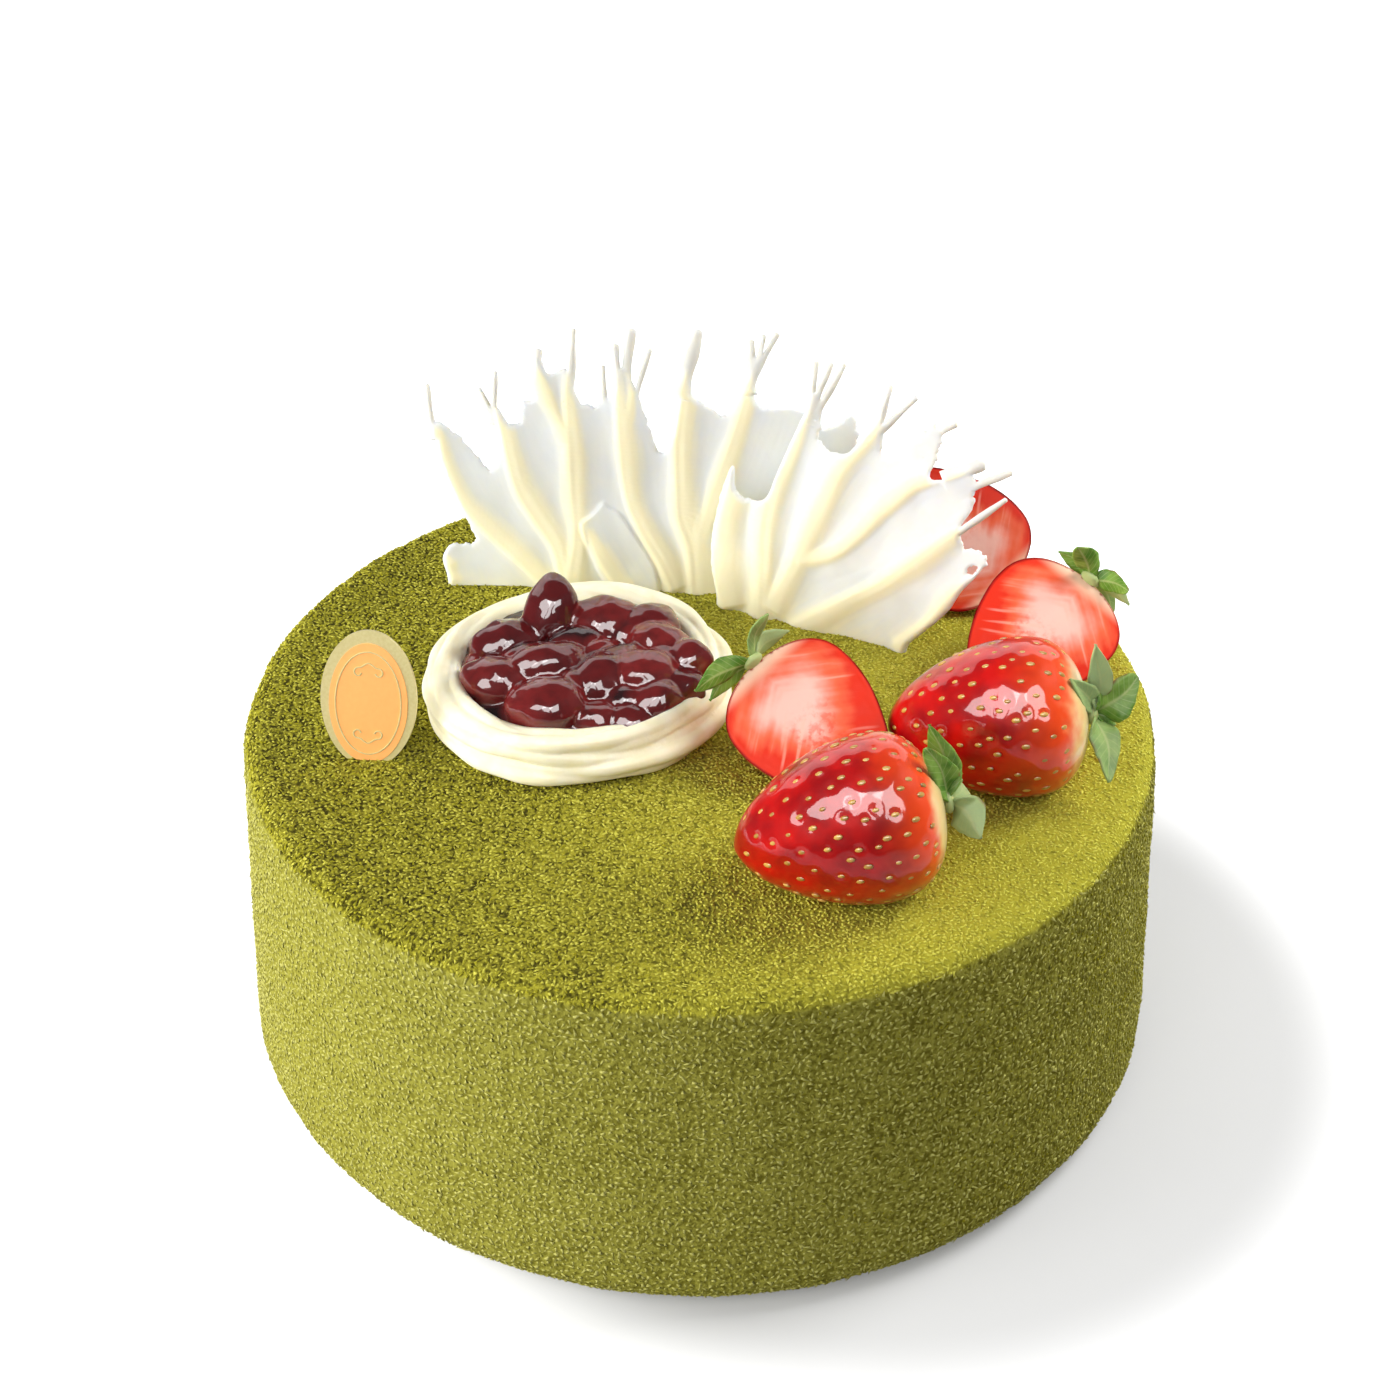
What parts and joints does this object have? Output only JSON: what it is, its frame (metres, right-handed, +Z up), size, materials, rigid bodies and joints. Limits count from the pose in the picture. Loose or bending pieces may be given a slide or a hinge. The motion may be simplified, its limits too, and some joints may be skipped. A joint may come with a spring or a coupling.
{
  "type": "matcha gateau",
  "caption": "Round matcha gateau in green crumb, topped with white chocolate fans, a piped nest of sweet red beans, strawberries with leaves and a blank oval card tag.",
  "frame": {"origin": "middle of the flat underside of the cake", "axes": "+Z up; -Y towards the side that the picture shows; +X to the right as seen from there"},
  "size_m": [0.1629, 0.1627, 0.1108],
  "materials": {
    "crumb": "matt green matcha crumb",
    "chocolate": "satin ivory white chocolate",
    "cream": "satin piped cream",
    "sweet_bean": "glossy dark red bean in syrup",
    "berry": "glossy red glazed strawberry",
    "leaf": "matt green leaf",
    "gold_card": "gold and orange foil card"
  },
  "bodies": {
    "root": {"cake": "crumb", "fan_left": "chocolate", "fan_right": "chocolate", "nest": "cream", "beans": "sweet_bean", "berry_front": "berry", "berry_right": "berry", "berry_half_front": "berry", "berry_half_right": "berry", "berry_half_back": "berry", "berry_front_leaves": "leaf", "berry_right_leaves": "leaf", "berry_half_front_leaves": "leaf", "berry_half_right_leaves": "leaf", "berry_half_back_leaves": "leaf", "tag": "gold_card"}
  },
  "joints": []
}
